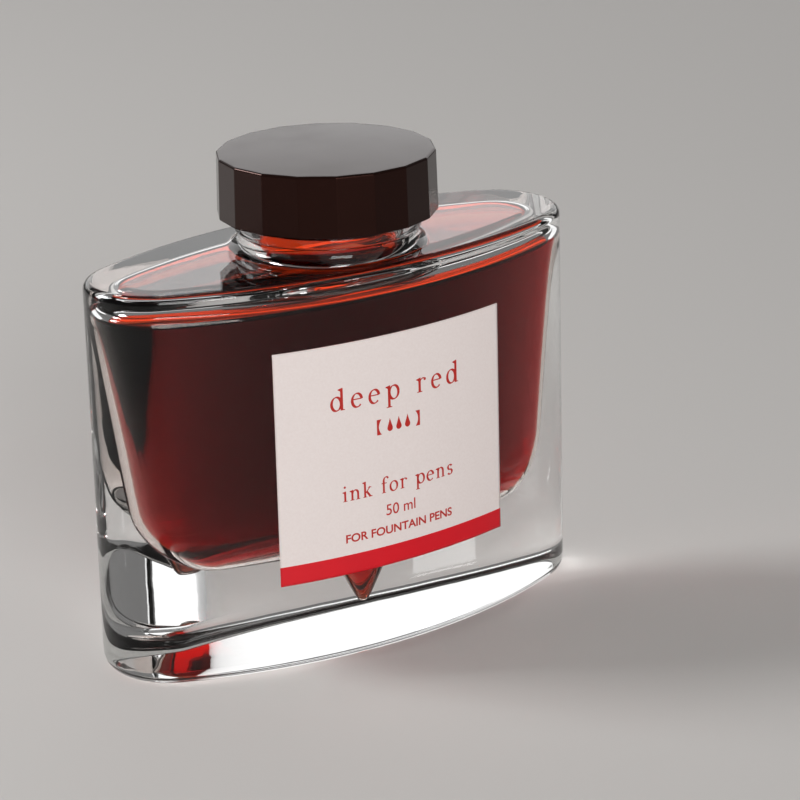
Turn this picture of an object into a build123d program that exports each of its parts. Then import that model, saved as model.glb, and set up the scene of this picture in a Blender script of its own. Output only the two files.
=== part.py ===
"""Ink bottle: a thick glass bottle with a lens-shaped plan, a faceted screw cap and a paper label on its front.

The frame is in millimetres, +Z up. X runs along the bottle's long side and the label faces -Y.
The origin is the centre of the plane that the bottle stands on.
"""

import os
from math import cos, pi, radians, sin, sqrt, tan

from build123d import *

# Glass body: the plan is two long arcs joined by two round ends
body_length = 82.0
body_depth = 34.5
body_end_radius = 10.9
body_height = 60.6
rim_radius = 1.3  # rounding of the top edge
foot_radius = 2.6  # rounding of the bottom edge

# Underside: a shallow recess leaves a flat ring to stand on
recess_depth = 0.7
bearing_width = 2.2

# Cavity in the glass
end_wall_thickness = 2.5  # at the shoulder
side_wall_thickness = 3.5  # at the shoulder, front and back
shoulder_thickness = 3.0  # glass over the ink, under the top face
base_thickness = 15.4  # glass under the ink
end_taper = 6.4  # how much more glass each end has at the bottom of the wall
side_taper = 1.3  # the same on the front and back walls
wall_curve = 0.65  # 1 is an even slope, and less is a wall that thickens faster near the shoulder
wall_sections = 6
cavity_end_share = 0.75  # how round the cavity's ends are, as a share of the body's in proportion
bowl_height = 10.0  # the rounding from the wall to the floor
bowl_end_run = 7.2  # how far that rounding runs in from each end
bowl_side_run = 7.0  # and from the front and back walls
ceiling_round = 3.6  # the rounding from the wall to the ceiling

# Well in the floor that gathers the last of the ink
well_floor_thickness = 4.6  # glass left under the well
well_tip_radius = 1.0
well_half_angle = 26.0  # degrees, from the axis to the side of the cone

# Neck
bore_radius = 10.4
neck_radius = 13.6
neck_rise = 2.3  # plain neck between the shoulder and the bead
neck_fillet = 1.8
bead_radius = 14.1
bead_height = 2.0
bead_round = 0.45
bead_gap = 0.5  # between the bead and the closed cap
lip_round = 0.5  # rounding of the neck's top edges

# Screw thread, right-handed, one start
thread_pitch = 3.2
thread_root_radius = 12.95  # of the glass, between its threads
thread_depth = 1.05
glass_thread_foot = 1.9  # widths along the axis
glass_thread_crest = 0.8
cap_thread_foot = 1.1
cap_thread_crest = 0.5
crest_clearance = 0.25  # radial, from each crest to the wall it faces
flank_gap = 0.2  # along the axis, between the flanks that carry the closed cap
thread_sink = 0.2  # how far each thread is rooted in its wall
thread_fade = 40.0  # degrees over which each end of a thread sinks into its wall
thread_end_share = 0.08  # of its depth that is left at its very ends
thread_step = 9.0  # degrees between the sections that its surface runs through
glass_thread_lip_gap = 1.7  # from the lip down to the middle of the glass thread's upper end
glass_thread_bead_gap = 1.74  # from the bead up to the middle of its lower end
cap_thread_mouth_gap = 1.25  # from the cap's mouth up to the middle of the cap thread's lower end
cap_thread_liner_gap = 1.7  # from the liner down to the middle of its upper end

# Cap
cap_height = 9.6
cap_facets = 18
cap_top_corner_radius = 16.5
cap_bottom_corner_radius = 16.7
cap_top_thickness = 1.6
cap_edge_chamfer = 0.3
cap_mouth_chamfer = 0.4
cap_facet_turn = 1.75  # degrees, from +X to the first corner

# Liner: a soft backing with a smooth film under it
liner_backing_thickness = 0.85
liner_facing_thickness = 0.15
liner_side_gap = 0.35
liner_seat_gap = 0.03  # above the backing and under the facing

# Label on the front arc
label_width = 40.8  # along the curved face
label_height = 36.2
label_bottom = 14.1
label_thickness = 0.14
adhesive_thickness = 0.05
adhesive_inset = 0.4

# Ink
ink_level_drop = 3.2  # from the ceiling of the cavity to the ink

# Heights, radii and angles that follow from the sizes above
half_length = body_length / 2
half_depth = body_depth / 2
ceiling_height = body_height - shoulder_thickness
ink_level = ceiling_height - ink_level_drop
bead_bottom = body_height + neck_rise
bead_top = bead_bottom + bead_height
cap_bottom = bead_top + bead_gap
cap_top = cap_bottom + cap_height
liner_top = cap_top - cap_top_thickness - liner_seat_gap
liner_split = liner_top - liner_backing_thickness
liner_bottom = liner_split - liner_facing_thickness
lip_height = liner_bottom - liner_seat_gap
cap_bore_radius = thread_root_radius + thread_depth + crest_clearance
liner_radius = cap_bore_radius - liner_side_gap
end_centre = half_length - body_end_radius
face_radius = (end_centre**2 + half_depth**2 - body_end_radius**2) / (2 * (half_depth - body_end_radius))
face_centre = face_radius - half_depth


def lens(long_half, short_half, end_radius, height):
    """A face with the bottle's plan shape at a height: two long arcs tangent to two round ends."""
    end_x = long_half - end_radius
    arc_radius = (end_x**2 + short_half**2 - end_radius**2) / (2 * (short_half - end_radius))
    arc_y = arc_radius - short_half
    spread = sqrt(end_x**2 + arc_y**2)
    tangent_x = end_x + end_radius * end_x / spread
    tangent_y = end_radius * arc_y / spread
    with BuildSketch(Plane.XY.offset(height)) as outline:
        with BuildLine():
            ThreePointArc((tangent_x, tangent_y), (0, short_half), (-tangent_x, tangent_y))
            ThreePointArc((-tangent_x, tangent_y), (-long_half, 0), (-tangent_x, -tangent_y))
            ThreePointArc((-tangent_x, -tangent_y), (0, -short_half), (tangent_x, -tangent_y))
            ThreePointArc((tangent_x, -tangent_y), (long_half, 0), (tangent_x, tangent_y))
        make_face()
    return outline.sketch


def inset_lens(inset, height):
    """The bottle's outline drawn in by an even distance."""
    return lens(half_length - inset, half_depth - inset, body_end_radius - inset, height)


def cavity_section(height):
    """The cavity's plan at a height: tapering walls, a round bowl under them and a round ceiling over them."""
    drop = ((ceiling_height - height) / (ceiling_height - base_thickness)) ** wall_curve
    long_half = half_length - end_wall_thickness - end_taper * drop
    short_half = half_depth - side_wall_thickness - side_taper * drop
    if height < base_thickness + bowl_height:
        rise = (height - base_thickness) / bowl_height
        lean = 1 - sqrt(1 - (1 - rise) ** 2)
        long_half -= bowl_end_run * lean
        short_half -= bowl_side_run * lean
    if height > ceiling_height - ceiling_round:
        rise = (height - ceiling_height + ceiling_round) / ceiling_round
        lean = 1 - sqrt(1 - rise**2)
        long_half -= ceiling_round * lean
        short_half -= ceiling_round * lean
    end_radius = cavity_end_share * short_half * body_end_radius / half_depth
    return lens(long_half, short_half, end_radius, height)


def thread_sections(root_radius, depth, foot, crest, low_end, high_end, height_at_x):
    """Sections of a thread on a wall, outward for a positive depth. Its helix crosses +X at a given height."""
    sweep_angle = 360 * (high_end - low_end) / thread_pitch
    steps = round(sweep_angle / thread_step)
    sections = []
    for step in range(steps + 1):
        turned = sweep_angle * step / steps
        height_share = min(1, thread_end_share + min(turned, sweep_angle - turned) / thread_fade)
        level = low_end + thread_pitch * turned / 360
        out = Vector(1, 0, 0).rotate(Axis.Z, 360 * (level - height_at_x) / thread_pitch)
        sink = -thread_sink if depth > 0 else thread_sink
        tip = depth * height_share
        tip_half = foot / 2 + (crest - foot) / 2 * height_share
        with BuildSketch(Plane(origin=(0, 0, level), x_dir=out, z_dir=out.cross(Vector(0, 0, 1)))) as section:
            with BuildLine():
                Polyline(
                    (root_radius + sink, -foot / 2),
                    (root_radius, -foot / 2),
                    (root_radius + tip, -tip_half),
                    (root_radius + tip, tip_half),
                    (root_radius, foot / 2),
                    (root_radius + sink, foot / 2),
                    close=True,
                )
            make_face()
        sections.append(section.sketch)
    return sections


# Cavity: used to hollow the glass and, below the ink level, as the ink
bowl_levels = [base_thickness + bowl_height * (1 - cos(radians(a))) for a in range(0, 91, 15)]
wall_foot = base_thickness + bowl_height
wall_rise = (ceiling_height - ceiling_round - wall_foot) / (wall_sections - 1)
wall_levels = [wall_foot + wall_rise * step for step in range(wall_sections)]
round_levels = [ceiling_height - ceiling_round * (1 - sin(radians(a))) for a in range(0, 91, 18)]
well_cone_radius = well_tip_radius * cos(radians(well_half_angle))
well_cone_height = well_floor_thickness + well_tip_radius * (1 - sin(radians(well_half_angle)))
well_rim_height = base_thickness + bowl_height / 3
well_rim_radius = well_cone_radius + (well_rim_height - well_cone_height) * tan(radians(well_half_angle))

with BuildPart() as cavity:
    loft([cavity_section(level) for level in bowl_levels])
    loft([cavity_section(level) for level in wall_levels])
    loft([cavity_section(level) for level in round_levels])
    with BuildSketch(Plane.XZ):
        with BuildLine():
            Line((0, well_floor_thickness), (0, well_rim_height))
            Line((0, well_rim_height), (well_rim_radius, well_rim_height))
            Line((well_rim_radius, well_rim_height), (well_cone_radius, well_cone_height))
            RadiusArc((well_cone_radius, well_cone_height), (0, well_floor_thickness), well_tip_radius)
        make_face()
    revolve(axis=Axis.Z)

# Glass bottle: body, neck and thread as one moulding, with the cavity and the bore taken out
glass_thread_low = bead_top + glass_thread_bead_gap
glass_thread_run = thread_sections(
    thread_root_radius,
    thread_depth,
    glass_thread_foot,
    glass_thread_crest,
    glass_thread_low,
    lip_height - glass_thread_lip_gap,
    glass_thread_low,
)
with BuildPart() as glass_thread:
    loft(glass_thread_run, ruled=True)
lip_wall_round = min(lip_round, (thread_root_radius - bore_radius) * 0.4)
with BuildPart() as glass_bottle:
    add(lens(half_length, half_depth, body_end_radius, 0))
    extrude(amount=body_height)
    fillet(glass_bottle.faces().sort_by(Axis.Z)[0].edges(), foot_radius)
    fillet(glass_bottle.faces().sort_by(Axis.Z)[-1].edges(), rim_radius)
    with BuildSketch(Plane.XY.offset(body_height)):
        Circle(neck_radius)
    extrude(amount=neck_rise)
    fillet(
        glass_bottle.edges().filter_by(GeomType.CIRCLE).filter_by_position(Axis.Z, body_height, body_height),
        neck_fillet,
    )
    with BuildSketch(Plane.XY.offset(bead_bottom)):
        Circle(bead_radius)
    extrude(amount=bead_height)
    bead_edges = glass_bottle.edges().filter_by(lambda edge: abs(edge.length - 2 * pi * bead_radius) < 1e-3)
    fillet(bead_edges, bead_round)
    with BuildSketch(Plane.XY.offset(bead_top)):
        Circle(thread_root_radius)
    extrude(amount=lip_height - bead_top)
    fillet(glass_bottle.faces().sort_by(Axis.Z)[-1].edges(), lip_wall_round)
    add(cavity.part, mode=Mode.SUBTRACT)
    with BuildSketch(Plane.XY.offset(ceiling_height - ceiling_round)):
        Circle(bore_radius)
    extrude(amount=lip_height - ceiling_height + ceiling_round, mode=Mode.SUBTRACT)
    fillet(glass_bottle.faces().sort_by(Axis.Z)[-1].inner_wires().edges(), lip_wall_round)
    add(inset_lens(foot_radius + bearing_width, 0))
    extrude(amount=recess_depth, taper=45, mode=Mode.SUBTRACT)
    add(glass_thread.part)
glass_bottle.part.label = "glass_bottle"

# Ink: it fills the cavity up to its level
with BuildPart() as ink:
    add(cavity.part)
    split(bisect_by=Plane.XY.offset(ink_level), keep=Keep.BOTTOM)
ink.part.label = "ink"

# Cap shell: its thread hangs just under the glass thread, so tightening pulls it down onto the lip
glass_half_width = glass_thread_foot / 2 - (
    (glass_thread_foot - glass_thread_crest) / 2 * crest_clearance / thread_depth
)
cap_thread_drop = glass_half_width + cap_thread_crest / 2 + flank_gap
cap_thread_run = thread_sections(
    cap_bore_radius,
    -thread_depth,
    cap_thread_foot,
    cap_thread_crest,
    cap_bottom + cap_thread_mouth_gap,
    liner_bottom - cap_thread_liner_gap,
    glass_thread_low - cap_thread_drop,
)
with BuildPart() as cap_thread:
    loft(cap_thread_run, ruled=True)
with BuildPart() as cap_shell:
    with BuildSketch(Plane.XY.offset(cap_bottom)):
        RegularPolygon(radius=cap_bottom_corner_radius, side_count=cap_facets, rotation=cap_facet_turn)
    with BuildSketch(Plane.XY.offset(cap_top)):
        RegularPolygon(radius=cap_top_corner_radius, side_count=cap_facets, rotation=cap_facet_turn)
    loft()
    chamfer(cap_shell.faces().sort_by(Axis.Z)[-1].edges(), cap_edge_chamfer)
    with BuildSketch(Plane.XY.offset(cap_bottom)):
        Circle(cap_bore_radius)
    extrude(amount=cap_height - cap_top_thickness, mode=Mode.SUBTRACT)
    chamfer(cap_shell.faces().sort_by(Axis.Z)[0].inner_wires().edges(), cap_mouth_chamfer)
    add(cap_thread.part)
cap_shell.part.label = "cap_shell"

# Cap liner: two discs that seal on the lip
with BuildPart() as liner_backing:
    with BuildSketch(Plane.XY.offset(liner_split)):
        Circle(liner_radius)
    extrude(amount=liner_backing_thickness)
liner_backing.part.label = "liner_backing"

with BuildPart() as liner_facing:
    with BuildSketch(Plane.XY.offset(liner_bottom)):
        Circle(liner_radius)
    extrude(amount=liner_facing_thickness)
liner_facing.part.label = "liner_facing"


def front_skin(inner_radius, thickness, width, bottom, height):
    """A thin sheet wrapped on the front arc, centred on the bottle's middle."""
    swing = width / face_radius / 2
    outer_radius = inner_radius + thickness
    with BuildPart(mode=Mode.PRIVATE) as skin:
        with BuildSketch(Plane.XY.offset(bottom)):
            with BuildLine():
                inner = ThreePointArc(
                    (-inner_radius * sin(swing), face_centre - inner_radius * cos(swing)),
                    (0, face_centre - inner_radius),
                    (inner_radius * sin(swing), face_centre - inner_radius * cos(swing)),
                )
                outer = ThreePointArc(
                    (-outer_radius * sin(swing), face_centre - outer_radius * cos(swing)),
                    (0, face_centre - outer_radius),
                    (outer_radius * sin(swing), face_centre - outer_radius * cos(swing)),
                )
                Line(inner @ 0, outer @ 0)
                Line(inner @ 1, outer @ 1)
            make_face()
        extrude(amount=height)
    return skin.part


# Label: printed paper on a film of adhesive
with BuildPart() as label_adhesive:
    add(
        front_skin(
            face_radius,
            adhesive_thickness,
            label_width - 2 * adhesive_inset,
            label_bottom + adhesive_inset,
            label_height - 2 * adhesive_inset,
        )
    )
label_adhesive.part.label = "label_adhesive"

with BuildPart() as front_label:
    add(
        front_skin(face_radius + adhesive_thickness, label_thickness, label_width, label_bottom, label_height)
    )
front_label.part.label = "front_label"

os.makedirs("parts", exist_ok=True)
export_step(glass_bottle.part, "parts/glass_bottle.step")
export_step(ink.part, "parts/ink.step")
export_step(cap_shell.part, "parts/cap_shell.step")
export_step(liner_backing.part, "parts/liner_backing.step")
export_step(liner_facing.part, "parts/liner_facing.step")
export_step(label_adhesive.part, "parts/label_adhesive.step")
export_step(front_label.part, "parts/front_label.step")
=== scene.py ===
"""The looks of an ink bottle: clear pressed glass, red ink, a dark moulded cap and a printed paper label.

Lengths are in metres, +Z up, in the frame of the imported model. The label faces -Y.
"""

from math import atan, cos, pi, radians, sin, sqrt, tan

import bmesh
import bpy
import numpy as np
from mathutils import Matrix, Vector


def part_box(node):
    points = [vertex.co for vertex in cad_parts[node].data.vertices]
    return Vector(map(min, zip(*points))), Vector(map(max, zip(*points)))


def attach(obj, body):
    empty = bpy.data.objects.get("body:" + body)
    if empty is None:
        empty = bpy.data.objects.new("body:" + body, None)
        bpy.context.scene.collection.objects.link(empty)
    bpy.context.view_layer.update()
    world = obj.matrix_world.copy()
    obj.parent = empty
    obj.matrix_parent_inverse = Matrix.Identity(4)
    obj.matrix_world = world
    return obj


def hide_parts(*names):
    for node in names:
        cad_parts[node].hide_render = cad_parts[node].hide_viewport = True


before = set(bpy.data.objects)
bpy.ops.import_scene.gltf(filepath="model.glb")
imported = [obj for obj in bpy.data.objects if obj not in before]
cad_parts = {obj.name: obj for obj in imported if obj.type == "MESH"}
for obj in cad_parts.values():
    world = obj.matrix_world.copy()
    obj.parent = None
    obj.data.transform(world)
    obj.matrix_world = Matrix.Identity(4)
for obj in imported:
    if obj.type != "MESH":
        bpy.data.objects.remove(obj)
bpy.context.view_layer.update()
MM = 0.001

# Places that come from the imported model
glass_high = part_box("glass_bottle")[1]
ink_low, ink_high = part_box("ink")
cap_low, cap_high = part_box("cap_shell")
backing_low, backing_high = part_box("liner_backing")
facing_low, facing_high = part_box("liner_facing")
label_low, label_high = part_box("front_label")
half_length = glass_high.x
half_depth = 17.25 * MM
lip_height = glass_high.z
ink_level = ink_high.z
well_tip = ink_low.z
cap_bottom = cap_low.z
cap_top = cap_high.z
liner_radius = backing_high.x

# Glass body
end_radius = 10.9 * MM
body_height = 60.6 * MM
rim_radius = 1.3 * MM
foot_radius = 2.6 * MM
bearing_width = 2.2 * MM
recess_depth = 0.7 * MM

# Cavity
end_wall = 2.5 * MM
side_wall = 3.5 * MM
shoulder_thickness = 3.0 * MM
base_thickness = 15.4 * MM
end_taper = 6.4 * MM
side_taper = 1.3 * MM
wall_curve = 0.65
cavity_end_share = 0.75
bowl_height = 10.0 * MM
bowl_end_run = 7.2 * MM
bowl_side_run = 7.0 * MM
ceiling_round = 3.6 * MM
ceiling_height = body_height - shoulder_thickness
well_tip_radius = 1.0 * MM
well_half_angle = radians(26)

# Ink
meniscus_rise = 1.3 * MM
meniscus_reach = 1.6 * MM

# Neck and thread
bore_radius = 10.4 * MM
neck_radius = 13.6 * MM
neck_rise = 2.3 * MM
neck_fillet = 1.8 * MM
bead_radius = 14.1 * MM
bead_height = 2.0 * MM
bead_round = 0.45 * MM
lip_round = 0.5 * MM
bead_bottom = body_height + neck_rise
bead_top = bead_bottom + bead_height
thread_pitch = 3.2 * MM
thread_root_radius = 12.95 * MM
thread_depth = 1.05 * MM
crest_clearance = 0.25 * MM
flank_gap = 0.2 * MM
thread_fade = 40 / 360  # turns
thread_end_share = 0.08
glass_thread = {"foot": 1.9 * MM, "crest": 0.8 * MM, "low": bead_top + 1.74 * MM, "high": lip_height - 1.7 * MM}
cap_thread = {"foot": 1.1 * MM, "crest": 0.5 * MM, "low": cap_bottom + 1.25 * MM, "high": facing_low.z - 1.7 * MM}
flank_run = (glass_thread["foot"] - glass_thread["crest"]) / 2 * crest_clearance / thread_depth
cap_thread_drop = glass_thread["foot"] / 2 - flank_run + cap_thread["crest"] / 2 + flank_gap

# Cap
cap_facets = 18
cap_top_corner = 16.5 * MM
cap_bottom_corner = 16.7 * MM
cap_bore_radius = thread_root_radius + thread_depth + crest_clearance
cap_roof = backing_high.z + 0.03 * MM
cap_edge_round = 0.35 * MM
cap_mouth_round = 0.4 * MM
cap_corner_round = 0.35 * MM
cap_facet_turn = radians(1.75)

# Label
label_width = 40.8 * MM
label_thickness = 0.14 * MM
adhesive_thickness = 0.05 * MM
band_height = 3.05 * MM
end_x = half_length - end_radius
face_radius = (end_x**2 + half_depth**2 - end_radius**2) / (2 * (half_depth - end_radius))
face_centre = face_radius - half_depth


# ---------------------------------------------------------------- camera


def make_camera():
    """A long lens looking down on the label side from the left, with the horizon a little turned."""
    azimuth, elevation, roll = radians(-34.42), radians(18.78), radians(-1.51)
    distance, aim_right, aim_up, aim_height = 0.4997, 10.12 * MM, -1.61 * MM, 36.57 * MM
    back = Vector((sin(azimuth) * cos(elevation), -cos(azimuth) * cos(elevation), sin(elevation)))
    right = Vector((cos(azimuth), sin(azimuth), 0))
    up = back.cross(right)
    place = Vector((0, 0, aim_height)) + right * aim_right + up * aim_up + back * distance
    turned_right = right * cos(roll) + up * sin(roll)
    turned_up = up * cos(roll) - right * sin(roll)
    camera = bpy.data.objects.new("camera", bpy.data.cameras.new("camera"))
    bpy.context.scene.collection.objects.link(camera)
    camera.matrix_world = Matrix(
        (
            (turned_right.x, turned_up.x, back.x, place.x),
            (turned_right.y, turned_up.y, back.y, place.y),
            (turned_right.z, turned_up.z, back.z, place.z),
            (0, 0, 0, 1),
        )
    )
    camera.data.lens = 146.9
    camera.data.sensor_width = 36
    bpy.context.scene.camera = camera


# ---------------------------------------------------------------- surfaces


def lens_radius(angles, long_half, short_half, round_end):
    """Distance from the axis to a lens-shaped outline, at each angle round +Z.

    With c and s the sizes of the angle's cosine and sine, the long arc of radius R about (0, -a) is at
    sqrt(R^2 - a^2 c^2) - a s, and the end of radius r about (e, 0) is at e c + sqrt(r^2 - e^2 s^2).
    """
    c, s = np.abs(np.cos(angles)), np.abs(np.sin(angles))
    end = long_half - round_end
    arc = (end**2 + short_half**2 - round_end**2) / (2 * (short_half - round_end))
    drop = arc - short_half
    spread = sqrt(end**2 + drop**2)
    tangent_x, tangent_y = end + round_end * end / spread, round_end * drop / spread
    on_arc = np.sqrt(np.maximum(arc**2 - (drop * c) ** 2, 0)) - drop * s
    on_end = end * c + np.sqrt(np.maximum(round_end**2 - (end * s) ** 2, 0))
    return np.where(s * tangent_x > c * tangent_y, on_arc, on_end)


def inset_lens(angles, inset):
    """The bottle's outline drawn in by an even distance."""
    return lens_radius(angles, half_length - inset, half_depth - inset, end_radius - inset)


def cavity_radius(angles, height, grow=0.0):
    """The cavity's outline at a height: a tapering wall, a bowl under it, a round ceiling over it and the well.

    A rounding of height h leans in by run * (1 - sqrt(1 - t^2)), where t goes from 0 at the wall to 1.
    The well's cone and the bore are joined to it by the larger of the two radii.
    """
    fall = max((ceiling_height - height) / (ceiling_height - base_thickness), 0) ** wall_curve
    bowl = min(max((base_thickness + bowl_height - height) / bowl_height, 0), 1)
    dome = min(max((height - ceiling_height + ceiling_round) / ceiling_round, 0), 1)
    bowl_lean, dome_lean = 1 - sqrt(1 - bowl**2), 1 - sqrt(1 - dome**2)
    long_half = half_length - end_wall - end_taper * fall - bowl_end_run * bowl_lean - ceiling_round * dome_lean
    short_half = half_depth - side_wall - side_taper * fall - bowl_side_run * bowl_lean - ceiling_round * dome_lean
    outline = lens_radius(angles, long_half, short_half, cavity_end_share * short_half * end_radius / half_depth)
    if height < base_thickness + bowl_height / 3:
        outline = np.maximum(outline, well_radius(height))
    if height > ceiling_height - ceiling_round / 2:
        outline = np.maximum(outline, bore_radius)
    return outline + grow


def well_radius(height):
    """The well's radius at a height: a cone of a set half angle that ends in a ball."""
    ball = well_tip + well_tip_radius
    meet = ball - well_tip_radius * sin(well_half_angle)
    if height > meet:
        return well_tip_radius * cos(well_half_angle) + (height - meet) * tan(well_half_angle)
    return sqrt(max(well_tip_radius**2 - (ball - height) ** 2, 0))


def thread_ridge(angles, height, shape, height_at_x):
    """How far a thread stands off its wall: a trapezoid about a helix, fading into the wall at both ends."""
    offset = height - height_at_x - thread_pitch * angles / (2 * pi)
    offset -= thread_pitch * np.round(offset / thread_pitch)
    level = height - offset
    ends = np.minimum(level - shape["low"], shape["high"] - level) / thread_pitch
    share = np.where(ends < 0, 0, np.clip(thread_end_share + ends / thread_fade, 0, 1))
    slope = 2 * thread_depth / (shape["foot"] - shape["crest"])
    return np.clip((shape["foot"] / 2 - np.abs(offset)) * slope, 0, thread_depth * share)


def quarter(steps):
    """Angles from 0 to a right angle, both ends included."""
    return [pi / 2 * k / steps for k in range(steps + 1)]


def spaced(start, stop, steps, margin=0.0):
    """Even values from start to stop, with one more a margin inside each end to keep flats flat."""
    way = 1 if stop > start else -1
    inner = np.linspace(start + way * margin, stop - way * margin, steps)
    return [start, *inner, stop] if margin else list(inner)


def closed_surface(name, angles, rows, start_height, end_height):
    """A closed surface from rows (radius at each angle, height), joined to a pole on the axis at each end."""
    radii = np.array([np.broadcast_to(radius, angles.shape) for radius, _ in rows])
    heights = np.array([np.broadcast_to(height, angles.shape) for _, height in rows])
    count, columns = radii.shape
    points = np.stack([radii * np.cos(angles), radii * np.sin(angles), heights], -1).reshape(-1, 3)
    points = np.vstack([points, [[0, 0, start_height], [0, 0, end_height]]])
    row, column = np.meshgrid(np.arange(count - 1), np.arange(columns), indexing="ij")
    after = (column + 1) % columns
    quads = np.stack(
        [row * columns + column, row * columns + after, (row + 1) * columns + after, (row + 1) * columns + column], -1
    ).reshape(-1, 4)
    ring = np.arange(columns)
    following = (ring + 1) % columns
    last = (count - 1) * columns
    first_fan = np.stack([np.full(columns, count * columns), following, ring], -1)
    last_fan = np.stack([last + ring, last + following, np.full(columns, count * columns + 1)], -1)
    mesh = bpy.data.meshes.new(name)
    mesh.from_pydata(points, [], quads.tolist() + first_fan.tolist() + last_fan.tolist())
    mesh.update()
    mesh.polygons.foreach_set("use_smooth", np.ones(len(mesh.polygons), bool))
    piece = bpy.data.objects.new(name, mesh)
    bpy.context.scene.collection.objects.link(piece)
    return piece


def merge_doubles(piece):
    """Joins points that fall on each other, as where the bore cuts the cavity's wall, and drops faces of no area."""
    work = bmesh.new()
    work.from_mesh(piece.data)
    bmesh.ops.remove_doubles(work, verts=work.verts, dist=0.0005 * MM)
    bmesh.ops.dissolve_degenerate(work, edges=work.edges, dist=0.0005 * MM)
    work.to_mesh(piece.data)
    work.free()


def bottle_surface():
    """The glass as one closed surface: base, foot, side, shoulder, neck, bore, ceiling, wall, floor and well."""
    angles = np.linspace(0, 2 * pi, 360, endpoint=False)
    keep = 0.05 * MM  # rows this close to an edge keep the flats beside it flat
    foot_inset = foot_radius + bearing_width
    recess = inset_lens(angles, foot_inset + recess_depth)
    rows = [(recess * share, recess_depth) for share in (0.2, 0.45, 0.7, 0.9, 0.98)]
    rows += [
        (inset_lens(angles, foot_inset + recess_depth * (1 - share)), recess_depth * (1 + cos(pi * share)) / 2)
        for share in (0, 0.2, 0.4, 0.6, 0.8, 1)
    ]
    rows += [(inset_lens(angles, foot_radius + keep), 0)]
    rows += [(inset_lens(angles, foot_radius * (1 - sin(a))), foot_radius * (1 - cos(a))) for a in quarter(9)]
    side = inset_lens(angles, 0)
    rows += [(side, h) for h in spaced(foot_radius, body_height - rim_radius, 14, keep)[1:-1]]
    rim_start = body_height - rim_radius
    rows += [(inset_lens(angles, rim_radius * (1 - cos(a))), rim_start + rim_radius * sin(a)) for a in quarter(7)]
    rim = inset_lens(angles, rim_radius)
    foot_of_neck = neck_radius + neck_fillet
    rows += [(rim + (foot_of_neck - rim) * w, body_height) for w in (0.04, 0.2, 0.4, 0.6, 0.8, 0.96)]
    rows += [(foot_of_neck - neck_fillet * sin(a), body_height + neck_fillet * (1 - cos(a))) for a in quarter(8)]
    rows += [(neck_radius, bead_bottom - keep), (neck_radius, bead_bottom)]
    inner = bead_radius - bead_round
    rows += [((neck_radius + inner) / 2, bead_bottom)]
    rows += [(inner + bead_round * sin(a), bead_bottom + bead_round * (1 - cos(a))) for a in quarter(5)]
    rows += [(bead_radius, bead_bottom + bead_round + keep), (bead_radius, bead_top - bead_round - keep)]
    rows += [(inner + bead_round * cos(a), bead_top - bead_round * (1 - sin(a))) for a in quarter(5)]
    rows += [(inner - keep, bead_top), (thread_root_radius + keep, bead_top)]
    rows += [
        (thread_root_radius + thread_ridge(angles, h, glass_thread, glass_thread["low"]), h)
        for h in spaced(bead_top, lip_height - lip_round, 62, keep)
    ]
    outer_lip = thread_root_radius - lip_round
    rows += [(outer_lip + lip_round * cos(a), lip_height - lip_round * (1 - sin(a))) for a in quarter(5)[1:]]
    inner_lip = bore_radius + lip_round
    rows += [(outer_lip - keep, lip_height), (inner_lip + keep, lip_height)]
    rows += [(inner_lip - lip_round * sin(a), lip_height - lip_round * (1 - cos(a))) for a in quarter(5)]
    first_glow_row = len(rows)
    rows += [(bore_radius, h) for h in spaced(lip_height - lip_round, ceiling_height, 6, keep)[1:]]
    ceiling = cavity_radius(angles, ceiling_height)
    rows += [(bore_radius + (ceiling - bore_radius) * w, ceiling_height) for w in (0.02, 0.25, 0.5, 0.75, 0.97)]
    cavity = cavity_rows(angles, ceiling_height, 0.0)
    dry = sum(height > ink_level + meniscus_rise for _, height in cavity)
    piece = closed_surface("glass_body", angles, rows + cavity, recess_depth, well_tip)
    columns = len(angles)
    finish = np.zeros(len(piece.data.polygons), int)
    # Finish 1 tints the dry inside above the ink orange, a painted glow; finish 2 is the glass that the ink wets.
    finish[first_glow_row * columns : (len(rows) + dry) * columns] = 1
    finish[(len(rows) + dry) * columns : -2 * columns] = 2
    finish[-columns:] = 2
    piece.data.polygons.foreach_set("material_index", finish)
    merge_doubles(piece)
    return piece


def cavity_rows(angles, top, grow):
    """The cavity's wall from a height down to the well's tip, grown outward by a distance.

    The ball at the tip, of radius r, is sqrt(r^2 - (r - d)^2) wide at a distance d above its lowest point.
    """
    round_foot = ceiling_height - ceiling_round
    levels = [round_foot + ceiling_round * sin(a) for a in reversed(quarter(9))]
    levels += spaced(round_foot, base_thickness + bowl_height, 14)[1:-1]
    levels += [base_thickness + bowl_height * (1 - cos(a)) for a in reversed(quarter(16))]
    levels = [top, *[h for h in levels if h < top - 0.02 * MM]]
    rows = [(cavity_radius(angles, h, grow), h) for h in levels]
    cone_top = well_radius(base_thickness)
    floor = cavity_radius(angles, base_thickness, grow)
    rows += [(cone_top + grow + (floor - cone_top - grow) * w, base_thickness - grow) for w in (0.7, 0.3, 0.03)]
    cone = spaced(base_thickness, well_tip + well_tip_radius, 12)[1:]
    rows += [(well_radius(h) + grow, h - grow) for h in cone]
    rows += [
        (sqrt(max(well_tip_radius**2 - (well_tip_radius - d) ** 2, 0)) + grow * 0.5, well_tip + d - grow)
        for d in [share * well_tip_radius for share in (0.7, 0.4, 0.2, 0.06)]
    ]
    return rows


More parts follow.
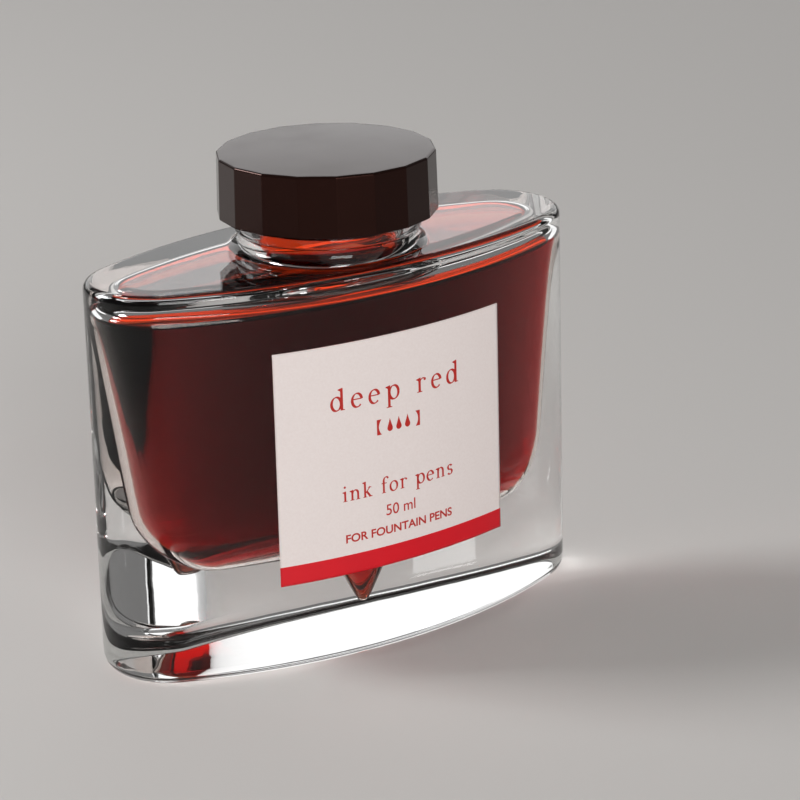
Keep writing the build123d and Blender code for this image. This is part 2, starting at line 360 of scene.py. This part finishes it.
def ink_surface():
    """The ink: the cavity's wall up to a meniscus that climbs the glass as rise * exp(-distance / reach).

    It reaches a little into the glass, so no film of air is left between the two.
    """
    angles = np.linspace(0, 2 * pi, 300, endpoint=False)
    overlap = 0.05 * MM
    wall = cavity_radius(angles, ink_level + meniscus_rise, overlap)
    gaps = [0, 0.2, 0.45, 0.75, 1.1, 1.6, 2.2, 3.0, 4.0, 5.5, 7.5]  # millimetres from the wall
    rows = [
        (wall - gap * MM, ink_level + meniscus_rise * np.exp(-gap * MM / meniscus_reach)) for gap in reversed(gaps)
    ]
    rows = [(rows[0][0] * share, ink_level) for share in (0.2, 0.45, 0.7, 0.9)] + rows
    rows += cavity_rows(angles, ink_level + meniscus_rise - overlap, overlap)
    piece = closed_surface("ink_body", angles, rows, ink_level, well_tip - overlap)
    piece.data.flip_normals()
    merge_doubles(piece)
    return piece


def facet_angles():
    """Angles round the cap: even on each flat, and closer together over each rounded corner."""
    sector = 2 * pi / cap_facets
    corner_half, flat_start = 0.018, 0.03
    corner = np.linspace(-corner_half, corner_half, 7)
    flat = np.linspace(flat_start, sector - flat_start, 9)
    one = np.concatenate([corner, flat])
    return np.concatenate([cap_facet_turn + sector * k + one for k in range(cap_facets)])


def facet_radius(angles, corner_radius):
    """A polygon with rounded corners: the flats, then an arc of the rounding's radius inside each corner."""
    rounding = cap_corner_round
    half = pi / cap_facets
    turn = np.mod(angles - cap_facet_turn + half, 2 * half) - half
    flat = corner_radius * cos(half) / np.cos(np.abs(turn) - half)
    centre = corner_radius - rounding / cos(half)
    reach = rounding**2 - (centre * np.sin(turn)) ** 2
    arc = centre * np.cos(turn) + np.sqrt(np.maximum(reach, 0))
    touch = atan(rounding * sin(half) / (centre + rounding * cos(half)))
    return np.where(np.abs(turn) < touch, arc, flat)


def cap_surface():
    """The cap: drafted flats, a rounded top edge, a slightly domed top, and a bore with its thread."""
    angles = facet_angles()
    keep = 0.06 * MM
    dome = 0.25 * MM
    edge = cap_edge_round
    edge_top = cap_top - dome

    def side(height, inset=0.0):
        share = (height - cap_bottom) / (cap_top - cap_bottom)
        corner = cap_bottom_corner + (cap_top_corner - cap_bottom_corner) * share
        return facet_radius(angles, corner - inset / cos(pi / cap_facets))

    rows = [(cap_bore_radius * share, cap_roof) for share in (0.3, 0.6, 0.85, 0.96)]
    rows += [(cap_bore_radius - keep, cap_roof), (cap_bore_radius, cap_roof - keep)]
    mouth = cap_bottom + cap_mouth_round
    rows += [
        (cap_bore_radius - thread_ridge(angles, h, cap_thread, glass_thread["low"] - cap_thread_drop), h)
        for h in spaced(cap_roof - 2 * keep, mouth, 66)
    ]
    mouth_edge = cap_bore_radius + cap_mouth_round
    rows += [(mouth_edge - cap_mouth_round * cos(a), mouth - cap_mouth_round * sin(a)) for a in quarter(4)[1:]]
    rim = 0.2 * MM
    rows += [(mouth_edge + keep, cap_bottom), (side(cap_bottom, rim + keep), cap_bottom)]
    rows += [(side(cap_bottom, rim * (1 - sin(a))), cap_bottom + rim * (1 - cos(a))) for a in quarter(3)]
    rows += [(side(h), h) for h in spaced(cap_bottom + rim, edge_top - edge, 6, keep)[1:-1]]
    rows += [(side(edge_top - edge, edge * (1 - cos(a))), edge_top - edge * (1 - sin(a))) for a in quarter(5)]
    brim = side(edge_top - edge, edge)
    widest = cap_top_corner - edge
    for share in (0.985, 0.95, 0.85, 0.7, 0.5, 0.3, 0.12):
        rows += [(brim * share, edge_top + dome * (1 - (brim * share / widest) ** 2))]
    return closed_surface("cap_moulding", angles, rows, cap_roof, edge_top + dome)


def disc_surface(name, low, high, radius, edge):
    """A disc with a small rounding on both rims."""
    angles = np.linspace(0, 2 * pi, 180, endpoint=False)
    rows = [(radius * share, low) for share in (0.3, 0.7, 0.95)]
    rows += [(radius - edge + edge * sin(a), low + edge * (1 - cos(a))) for a in quarter(4)]
    rows += [(radius - edge + edge * cos(a), high - edge * (1 - sin(a))) for a in quarter(4)]
    rows += [(radius * share, high) for share in (0.95, 0.7, 0.3)]
    return closed_surface(name, angles, rows, low, high)


def on_front(across, height, standoff):
    """Points on the front arc: across is measured along the curved face from its middle."""
    swing = across / face_radius
    reach = face_radius + standoff
    return np.stack([reach * np.sin(swing), face_centre - reach * np.cos(swing), height], -1)


def front_sheet(name, width, low, high, standoff, thickness):
    """A sheet wrapped on the front arc: a grid in (across, height) with the thickness added towards the glass."""
    columns, rows = 97, 81
    across, height = np.meshgrid(np.linspace(-width / 2, width / 2, columns), np.linspace(low, high, rows))
    points = on_front(across, height, standoff + thickness).reshape(-1, 3)
    row, column = np.meshgrid(np.arange(rows - 1), np.arange(columns - 1), indexing="ij")
    corner = row * columns + column
    quads = np.stack([corner, corner + 1, corner + columns + 1, corner + columns], -1).reshape(-1, 4)
    mesh = bpy.data.meshes.new(name)
    mesh.from_pydata(points, [], quads.tolist())
    mesh.polygons.foreach_set("use_smooth", np.ones(len(mesh.polygons), bool))
    piece = bpy.data.objects.new(name, mesh)
    bpy.context.scene.collection.objects.link(piece)
    wall = piece.modifiers.new("thickness", "SOLIDIFY")
    wall.thickness = thickness
    wall.offset = -1
    return piece


# ---------------------------------------------------------------- lettering


def stroke(x, y, nib):
    """A pen's mark along a path: its two edges, as far apart as an oval nib held at an angle is wide there."""
    broad, thin, tilt = nib
    path = np.stack([x, y], -1).astype(float)
    along = np.gradient(path, axis=0)
    normal = np.stack([-along[:, 1], along[:, 0]], -1) / np.linalg.norm(along, axis=1)[:, None]
    over = normal @ np.array([[cos(tilt), -sin(tilt)], [sin(tilt), cos(tilt)]])
    half = normal * np.hypot(broad * over[:, 0], thin * over[:, 1])[:, None] / 2
    return path - half, path + half


def curl(centre_x, centre_y, wide, high, start, stop, nib, steps=28):
    """A stroke along part of an oval, between two angles in degrees."""
    turn = np.radians(np.linspace(start, stop, steps))
    return stroke(centre_x + wide * np.cos(turn), centre_y + high * np.sin(turn), nib)


def run(x0, y0, x1, y1, nib):
    """A straight stroke."""
    return stroke(np.linspace(x0, x1, 4), np.linspace(y0, y1, 4), nib)


def blob(centre_x, centre_y, radius, drop=0.0):
    """A round dot, drawn out to a point at its top when drop is more than 0."""
    turn = np.linspace(0, pi, 15)
    x = -np.cos(turn) * radius
    cap = np.sin(turn) * radius
    peak = drop * np.maximum(1 - np.abs(x) / radius, 0) ** 1.6
    return np.stack([centre_x + x, centre_y - cap], -1), np.stack([centre_x + x, centre_y + cap + peak], -1)


def foot(x, y, reach=0.22, left=True, right=True):
    """A serif under a stem: a thin slab that swells into the stem like a bracket."""
    across = np.linspace(-reach if left else -0.08, reach if right else 0.08, 13)
    swell = 0.05 + 0.09 * np.maximum(1 - np.abs(across) / reach, 0) ** 2.2
    return np.stack([x + across, np.full(13, y)], -1), np.stack([x + across, y + swell], -1)


def flag(x, y):
    """The slanted serif at the head of a stem."""
    across = np.linspace(-0.27, 0.085, 7)
    lower = y - 0.14 - 0.12 * np.clip((across + 0.27) / 0.2, 0, 1) ** 1.5
    upper = y - 0.08 + 0.08 * (across + 0.27) / 0.355
    return np.stack([x + across, lower], -1), np.stack([x + across, upper], -1)


def book_letter(letter, pen):
    """A lower-case letter of an old-style book face, one unit high at the x-height: its marks and its width."""
    broad, hair = pen, (pen[0] * 0.42, pen[1], pen[2])
    ascender, head = 1.55, 1.02
    if letter == "d":
        marks = [curl(0.44, 0.49, 0.35, 0.47, 0, 360, broad), run(0.84, 0.0, 0.84, ascender - 0.05, broad)]
        return [*marks, flag(0.84, ascender), foot(0.84, 0, left=False)], 1.08
    if letter == "e":
        marks = [curl(0.45, 0.49, 0.36, 0.47, 8, 318, broad), run(0.12, 0.57, 0.79, 0.57, hair)]
        return marks, 0.88
    if letter == "p":
        marks = [run(0.28, -0.5, 0.28, 0.95, broad), flag(0.28, head), foot(0.28, -0.52)]
        return [*marks, curl(0.66, 0.49, 0.36, 0.47, 0, 360, broad)], 1.1
    if letter == "r":
        marks = [run(0.28, 0.0, 0.28, 0.95, broad), flag(0.28, head), foot(0.28, 0)]
        return [*marks, curl(0.58, 0.6, 0.28, 0.35, 170, 62, hair), blob(0.72, 0.86, 0.1)], 0.82
    if letter == "i":
        return [run(0.28, 0, 0.28, 0.95, broad), flag(0.28, head), foot(0.28, 0), blob(0.26, 1.4, 0.11)], 0.52
    if letter == "n":
        marks = [run(0.28, 0, 0.28, 0.95, broad), flag(0.28, head), foot(0.28, 0), foot(0.88, 0)]
        return [*marks, curl(0.59, 0.62, 0.29, 0.34, 175, 0, broad), run(0.88, 0.62, 0.88, 0, broad)], 1.12
    if letter == "k":
        marks = [run(0.28, 0, 0.28, ascender - 0.05, broad), flag(0.28, ascender), foot(0.28, 0)]
        marks += [run(0.3, 0.38, 0.78, 0.92, hair), foot(0.78, 0.9, 0.18), run(0.46, 0.56, 0.84, 0.03, broad)]
        return [*marks, foot(0.87, 0, 0.2)], 1.06
    if letter == "f":
        marks = [run(0.3, 0, 0.3, 1.2, broad), curl(0.57, 1.18, 0.27, 0.36, 180, 60, broad), foot(0.3, 0)]
        return [*marks, run(0.06, 0.95, 0.62, 0.95, hair), blob(0.74, 1.44, 0.1)], 0.72
    if letter == "o":
        return [curl(0.46, 0.49, 0.38, 0.47, 0, 360, broad)], 0.92
    if letter == "s":
        upper = curl(0.4, 0.73, 0.23, 0.23, 25, 265, broad)
        return [upper, curl(0.4, 0.26, 0.25, 0.24, 88, -155, broad)], 0.76
    return [], 0.5


def book_words(words, x_height, spacing, baseline, pen):
    """A centred line in the book face: its marks in metres on the label, across and up from its foot."""
    marks, across = [], 0.0
    for letter in words:
        drawn, width = book_letter(letter, pen)
        marks += [(low + [across, 0], high + [across, 0]) for low, high in drawn]
        across += width + spacing
    middle = (across - spacing) / 2
    return [
        ((low - [middle, 0]) * x_height + [0, baseline], (high - [middle, 0]) * x_height + [0, baseline])
        for low, high in marks
    ]


def ornament(height, baseline):
    """Two solid brackets that curve away from three falling drops."""
    up = np.linspace(0, 1, 13)
    back = np.stack([np.full(13, -1.62), up], -1)
    inner = np.stack([-1.28 - 0.2 * np.sin(pi * up) ** 0.8, up], -1)
    marks = [(inner, back), (back * [-1, 1], inner * [-1, 1])]
    marks += [blob(x, 0.3, 0.2, 0.45) for x in (-0.66, 0.0, 0.66)]
    return [(low * height + [0, baseline], high * height + [0, baseline]) for low, high in marks]


def plain_words(words, width, cap_height, baseline, weight):
    """A centred line in a plain sans face, stretched to its width and height: points and triangles."""
    text = bpy.data.curves.new("plain_words", "FONT")
    text.body = words
    text.offset = weight
    holder = bpy.data.objects.new("plain_words", text)
    mesh = bpy.data.meshes.new_from_object(holder)
    flat = np.array([point.co[:2] for point in mesh.vertices])
    faces = [list(face.vertices) for face in mesh.polygons]
    low, high = flat.min(0), flat.max(0)
    flat = (flat - [(low[0] + high[0]) / 2, low[1]]) * [width / (high[0] - low[0]), cap_height / (high[1] - low[1])]
    bpy.data.objects.remove(holder)
    bpy.data.meshes.remove(mesh)
    bpy.data.curves.remove(text)
    return flat + [0, baseline], faces


def label_print(standoff, thickness):
    """The label's lines of print as one thin relief wrapped on the front arc, each mark a strip of quads."""
    marks = book_words("deep red", 2.25 * MM, 0.44, 26.0 * MM, (0.2, 0.075, radians(18)))
    marks += ornament(2.4 * MM, 20.9 * MM)
    marks += book_words("ink for pens", 1.62 * MM, 0.22, 11.6 * MM, (0.21, 0.085, radians(18)))
    flat, faces = [], []
    for low, high in marks:
        start, count = sum(map(len, flat)), len(low)
        flat.append(np.concatenate([low, high]))
        steps = start + np.arange(count - 1)
        faces += np.stack([steps, steps + 1, steps + count + 1, steps + count], -1).tolist()
    plain = [plain_words("50 ml", 5.3 * MM, 1.75 * MM, 7.9 * MM, 0.004)]
    plain += [plain_words("FOR FOUNTAIN PENS", 19.4 * MM, 1.35 * MM, 4.95 * MM, 0.022)]
    for points, triangles in plain:
        start = sum(map(len, flat))
        flat.append(points)
        faces += [[start + corner for corner in triangle] for triangle in triangles]
    flat = np.concatenate(flat)
    points = on_front(flat[:, 0], label_low.z + flat[:, 1], standoff + thickness)
    mesh = bpy.data.meshes.new("label_print")
    mesh.from_pydata(points, [], faces)
    mesh.update()
    piece = bpy.data.objects.new("label_print", mesh)
    bpy.context.scene.collection.objects.link(piece)
    merge_doubles(piece)
    wall = piece.modifiers.new("thickness", "SOLIDIFY")
    wall.thickness = thickness
    wall.offset = -1
    return piece


# ---------------------------------------------------------------- materials


def colour(code):
    """Linear RGBA from an sRGB hex code."""
    parts = [int(code[k : k + 2], 16) / 255 for k in (1, 3, 5)]
    return (*[p / 12.92 if p <= 0.04045 else ((p + 0.055) / 1.055) ** 2.4 for p in parts], 1)


def add(tree, kind, inputs=(), **settings):
    """A new node with its settings, and each input given a value or linked to an output."""
    new = tree.nodes.new(kind)
    for name, value in settings.items():
        setattr(new, name, value)
    for name, value in dict(inputs).items():
        if isinstance(value, bpy.types.NodeSocket):
            tree.links.new(value, new.inputs[name])
        else:
            new.inputs[name].default_value = value
    return new


def per(size):
    """The scale that gives a pattern features of a size in millimetres."""
    return 1 / (size * MM)


def new_material(name):
    """An empty node material and its tree."""
    made = bpy.data.materials.new(name)
    made.use_nodes = True
    made.node_tree.nodes.clear()
    return made, made.node_tree


def flint_glass(name, tint, glint):
    """Pressed flint glass, fire-polished: clear, faintly green, its faces a little wavy from the mould.

    Tint is the colour that one face lets through: near white on most faces, and orange on the dry inside of the neck,
    shoulder and cavity above the ink, a painted glow that stands in for light seen through the thin ink under the
    shoulder.
    Glint colours its head-on reflection: pale where it meets air, black where ink wets it and takes that away.
    """
    made, tree = new_material(name)
    place = add(tree, "ShaderNodeTexCoord").outputs["Object"]
    waves = add(tree, "ShaderNodeTexNoise", {"Vector": place, "Scale": per(9), "Detail": 2.0}).outputs["Fac"]
    bump = add(tree, "ShaderNodeBump", {"Height": waves, "Strength": 0.25, "Distance": 0.13 * MM})
    glass = add(
        tree,
        "ShaderNodeBsdfPrincipled",
        {
            "Base Color": tint,
            "Roughness": 0.0,
            "IOR": 1.52,
            "Specular Tint": glint,
            "Transmission Weight": 1.0,
            "Normal": bump.outputs["Normal"],
        },
    )
    clear = add(tree, "ShaderNodeBsdfTransparent", {"Color": (0.93, 0.94, 0.94, 1)})
    rays = add(tree, "ShaderNodeLightPath").outputs["Is Shadow Ray"]
    mixed = add(tree, "ShaderNodeMixShader", {0: rays, 1: glass.outputs[0], 2: clear.outputs[0]})
    add(tree, "ShaderNodeOutputMaterial", {"Surface": mixed.outputs[0]})
    return made


def dye_ink():
    """Water-based dye ink: orange where it is a film, saturated red at a few millimetres, near black in depth.

    Where it wets the glass it shows almost no head-on reflection, so that is tinted away.
    """
    made, tree = new_material("red_dye_ink")
    liquid = add(
        tree,
        "ShaderNodeBsdfPrincipled",
        {
            "Base Color": (1, 1, 1, 1),
            "Roughness": 0.0,
            "IOR": 1.34,
            "Specular Tint": (0, 0, 0, 1),
            "Transmission Weight": 1.0,
        },
    )
    clear = add(tree, "ShaderNodeBsdfTransparent", {"Color": (0.6, 0.05, 0.03, 1)})
    rays = add(tree, "ShaderNodeLightPath").outputs["Is Shadow Ray"]
    mixed = add(tree, "ShaderNodeMixShader", {0: rays, 1: liquid.outputs[0], 2: clear.outputs[0]})
    depth = add(tree, "ShaderNodeVolumeAbsorption", {"Color": (0.922, 0.3, 0.0, 1), "Density": 1400.0})
    add(tree, "ShaderNodeOutputMaterial", {"Surface": mixed.outputs[0], "Volume": depth.outputs[0]})
    return made


def moulded_cap():
    """Glossy ABS moulding in a brown-black: deep and mirror-like, with faint handling marks in the gloss."""
    made, tree = new_material("gloss_abs_moulding")
    place = add(tree, "ShaderNodeTexCoord").outputs["Object"]
    cloud = add(tree, "ShaderNodeTexNoise", {"Vector": place, "Scale": per(8), "Detail": 4.0}).outputs["Fac"]
    rough = add(tree, "ShaderNodeMapRange", {0: cloud, 1: 0.35, 2: 0.75, 3: 0.12, 4: 0.2}).outputs[0]
    flow = add(tree, "ShaderNodeTexNoise", {"Vector": place, "Scale": per(16), "Detail": 1.0}).outputs["Fac"]
    bump = add(tree, "ShaderNodeBump", {"Height": flow, "Strength": 0.2, "Distance": 0.05 * MM})
    tint = add(tree, "ShaderNodeMix", {0: cloud, 6: colour("#140A09"), 7: colour("#1C0E0B")}, data_type="RGBA")
    plastic = add(
        tree,
        "ShaderNodeBsdfPrincipled",
        {
            "Base Color": tint.outputs[2],
            "Roughness": rough,
            "IOR": 1.4,
            # The reflection is tinted warm brown: a painted warm reflection, as from a warm-coloured surround.
            "Specular Tint": colour("#C98A7C"),
            "Normal": bump.outputs["Normal"],
        },
    )
    add(tree, "ShaderNodeOutputMaterial", {"Surface": plastic.outputs[0]})
    return made


def liner_foam():
    """Polyethylene foam: white and matt, with fine closed cells."""
    made, tree = new_material("polyethylene_foam")
    place = add(tree, "ShaderNodeTexCoord").outputs["Object"]
    cells = add(tree, "ShaderNodeTexVoronoi", {"Vector": place, "Scale": per(0.3)}).outputs["Distance"]
    tint = add(tree, "ShaderNodeMix", {0: cells, 6: colour("#F1EFEA"), 7: colour("#DAD7CF")}, data_type="RGBA")
    bump = add(tree, "ShaderNodeBump", {"Height": cells, "Strength": 0.5, "Distance": 0.05 * MM})
    foam = add(
        tree,
        "ShaderNodeBsdfPrincipled",
        {"Base Color": tint.outputs[2], "Roughness": 0.75, "IOR": 1.45, "Normal": bump.outputs["Normal"]},
    )
    add(tree, "ShaderNodeOutputMaterial", {"Surface": foam.outputs[0]})
    return made


def liner_film():
    """Polyethylene film: white with a soft sheen and a faint pull pattern."""
    made, tree = new_material("polyethylene_film")
    place = add(tree, "ShaderNodeTexCoord").outputs["Object"]
    pull = add(tree, "ShaderNodeTexNoise", {"Vector": place, "Scale": per(2.5), "Detail": 2.0}).outputs["Fac"]
    rough = add(tree, "ShaderNodeMapRange", {0: pull, 3: 0.28, 4: 0.42}).outputs[0]
    tint = add(tree, "ShaderNodeMix", {0: pull, 6: colour("#F4F3EF"), 7: colour("#E9E7E1")}, data_type="RGBA")
    film = add(
        tree, "ShaderNodeBsdfPrincipled", {"Base Color": tint.outputs[2], "Roughness": rough, "IOR": 1.5}
    )
    add(tree, "ShaderNodeOutputMaterial", {"Surface": film.outputs[0]})
    return made


def adhesive_film():
    """Acrylic adhesive under paper: a dull off-white seen only from behind, through the glass."""
    made, tree = new_material("acrylic_adhesive")
    place = add(tree, "ShaderNodeTexCoord").outputs["Object"]
    spread = add(tree, "ShaderNodeTexNoise", {"Vector": place, "Scale": per(1.1), "Detail": 3.0}).outputs["Fac"]
    tint = add(tree, "ShaderNodeMix", {0: spread, 6: colour("#E9E2D8"), 7: colour("#D8D0C4")}, data_type="RGBA")
    glue = add(tree, "ShaderNodeBsdfPrincipled", {"Base Color": tint.outputs[2], "Roughness": 0.45, "IOR": 1.47})
    add(tree, "ShaderNodeOutputMaterial", {"Surface": glue.outputs[0]})
    return made


def printed_paper():
    """Smooth label paper with a solid red band offset-printed along its foot.

    The paper shows faint fibres, and the band's ink a flat sheen.
    """
    made, tree = new_material("offset_printed_paper")
    place = add(tree, "ShaderNodeTexCoord").outputs["Object"]
    fibres = add(
        tree, "ShaderNodeTexNoise", {"Vector": place, "Scale": per(0.4), "Detail": 4.0, "Roughness": 0.6}
    ).outputs["Fac"]
    mottle = add(tree, "ShaderNodeTexNoise", {"Vector": place, "Scale": per(6.5), "Detail": 2.0}).outputs["Fac"]
    height = add(tree, "ShaderNodeSeparateXYZ", {0: place}).outputs["Z"]
    inked = add(tree, "ShaderNodeMath", {0: height, 1: label_low.z + band_height}, operation="LESS_THAN").outputs[0]
    paper = add(tree, "ShaderNodeMix", {0: fibres, 6: colour("#F6ECE9"), 7: colour("#EBDEDA")}, data_type="RGBA")
    band = add(tree, "ShaderNodeMix", {0: mottle, 6: colour("#E4001C"), 7: colour("#D5001A")}, data_type="RGBA")
    tint = add(tree, "ShaderNodeMix", {0: inked, 6: paper.outputs[2], 7: band.outputs[2]}, data_type="RGBA")
    rough = add(tree, "ShaderNodeMapRange", {0: inked, 3: 0.62, 4: 0.4}).outputs[0]
    bump = add(tree, "ShaderNodeBump", {"Height": fibres, "Strength": 0.25, "Distance": 0.02 * MM})
    sheet = add(
        tree,
        "ShaderNodeBsdfPrincipled",
        {"Base Color": tint.outputs[2], "Roughness": rough, "IOR": 1.5, "Normal": bump.outputs["Normal"]},
    )
    add(tree, "ShaderNodeOutputMaterial", {"Surface": sheet.outputs[0]})
    return made


def screen_print():
    """Opaque red printing ink on the paper: a flat, slightly dry film."""
    made, tree = new_material("red_printing_ink")
    place = add(tree, "ShaderNodeTexCoord").outputs["Object"]
    cover = add(tree, "ShaderNodeTexNoise", {"Vector": place, "Scale": per(0.55), "Detail": 2.0}).outputs["Fac"]
    tint = add(tree, "ShaderNodeMix", {0: cover, 6: colour("#C62418"), 7: colour("#B81C14")}, data_type="RGBA")
    rough = add(tree, "ShaderNodeMapRange", {0: cover, 3: 0.4, 4: 0.55}).outputs[0]
    film = add(tree, "ShaderNodeBsdfPrincipled", {"Base Color": tint.outputs[2], "Roughness": rough, "IOR": 1.5})
    add(tree, "ShaderNodeOutputMaterial", {"Surface": film.outputs[0]})
    return made


def pale_floor():
    """A plain pale studio floor."""
    made, tree = new_material("studio_floor")
    paint = add(tree, "ShaderNodeBsdfPrincipled", {"Base Color": colour("#CFCCC9"), "Roughness": 0.7})
    add(tree, "ShaderNodeOutputMaterial", {"Surface": paint.outputs[0]})
    return made


# ---------------------------------------------------------------- studio


def make_studio():
    """A pale floor, an even soft surround, and large soft lamps."""
    scene = bpy.context.scene
    scene.world = bpy.data.worlds.new("surround")
    scene.world.use_nodes = True
    surround = scene.world.node_tree.nodes["Background"]
    surround.inputs["Color"].default_value = colour("#E9E7E6")
    surround.inputs["Strength"].default_value = 0.2
    scene.view_settings.view_transform = "Standard"
    reach = 3.0
    corners = [(-reach, -reach, 0), (reach, -reach, 0), (reach, reach, 0), (-reach, reach, 0)]
    mesh = bpy.data.meshes.new("floor")
    mesh.from_pydata(corners, [], [(0, 1, 2, 3)])
    mesh.materials.append(pale_floor())
    floor = bpy.data.objects.new("floor", mesh)
    scene.collection.objects.link(floor)
    # Place, size and power in watts. The key models the form, the long one behind is what the base and the
    # shoulder mirror, and the fill lights the label.
    make_lamp("key", (-0.5, 0.45, 0.5), (0.25, 0.25), 4.2)
    make_lamp("back", (0.54, 0.78, 0.36), (1.8, 0.36), 2.0)
    make_lamp("fill", (-0.3, -0.95, 0.42), (0.5, 0.5), 6.5)


def make_lamp(name, place, size, power):
    """A rectangular soft lamp at a place, aimed at the middle of the bottle."""
    aim = (0, 0, 0.03)
    lamp = bpy.data.lights.new(name, "AREA")
    lamp.shape = "RECTANGLE"
    lamp.size, lamp.size_y = size
    lamp.energy = power
    holder = bpy.data.objects.new(name, lamp)
    bpy.context.scene.collection.objects.link(holder)
    holder.location = place
    holder.rotation_euler = (Vector(aim) - Vector(place)).to_track_quat("-Z", "Y").to_euler()


# ---------------------------------------------------------------- assembly


def fit_out(piece, finishes, slot, body, *nodes):
    """Gives a piece its finishes, and ties it to the body and nodes that it stands for."""
    for finish in finishes:
        piece.data.materials.append(finish)
    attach(piece, body)
    if nodes:
        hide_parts(*nodes)


make_camera()
make_studio()
black = (0, 0, 0, 1)
pale_glint = colour("#C8C8C8")
clear_tint = (0.982, 0.99, 0.987, 1)
hair_gap = 0.005 * MM  # keeps faces that touch from lying in each other
print_thickness = 0.02 * MM
dry_glass = flint_glass("pressed_flint_glass", clear_tint, pale_glint)
# Orange tint on the dry inside of the neck and shoulder: painted glow, standing in for light through the thin ink
# under the shoulder.
orange_glow_glass = flint_glass("orange_glow_flint_glass", colour("#EE4416"), pale_glint)
wet_glass = flint_glass("wetted_flint_glass", clear_tint, black)
fit_out(bottle_surface(), [dry_glass, orange_glow_glass, wet_glass], "clear_glass", "bottle", "glass_bottle")
fit_out(ink_surface(), [dye_ink()], "red_ink", "bottle", "ink")
fit_out(cap_surface(), [moulded_cap()], "cap_plastic", "cap", "cap_shell")
fit_out(
    disc_surface("liner_foam_disc", backing_low.z + hair_gap, backing_high.z, liner_radius, 0.12 * MM),
    [liner_foam()],
    "liner_foam",
    "seal",
    "liner_backing",
)
fit_out(
    disc_surface("liner_film_disc", facing_low.z, facing_high.z - hair_gap, liner_radius, 0.05 * MM),
    [liner_film()],
    "liner_film",
    "seal",
    "liner_facing",
)
glue_inset = 0.4 * MM
fit_out(
    front_sheet(
        "label_glue",
        label_width - 2 * glue_inset,
        label_low.z + glue_inset,
        label_high.z - glue_inset,
        hair_gap,
        adhesive_thickness - 2 * hair_gap,
    ),
    [adhesive_film()],
    "adhesive",
    "bottle",
    "label_adhesive",
)
fit_out(
    front_sheet("label_sheet", label_width, label_low.z, label_high.z, adhesive_thickness, label_thickness),
    [printed_paper()],
    "label_paper",
    "bottle",
    "front_label",
)
print_piece = label_print(adhesive_thickness + label_thickness, print_thickness)
fit_out(print_piece, [screen_print()], "label_paper", "bottle")
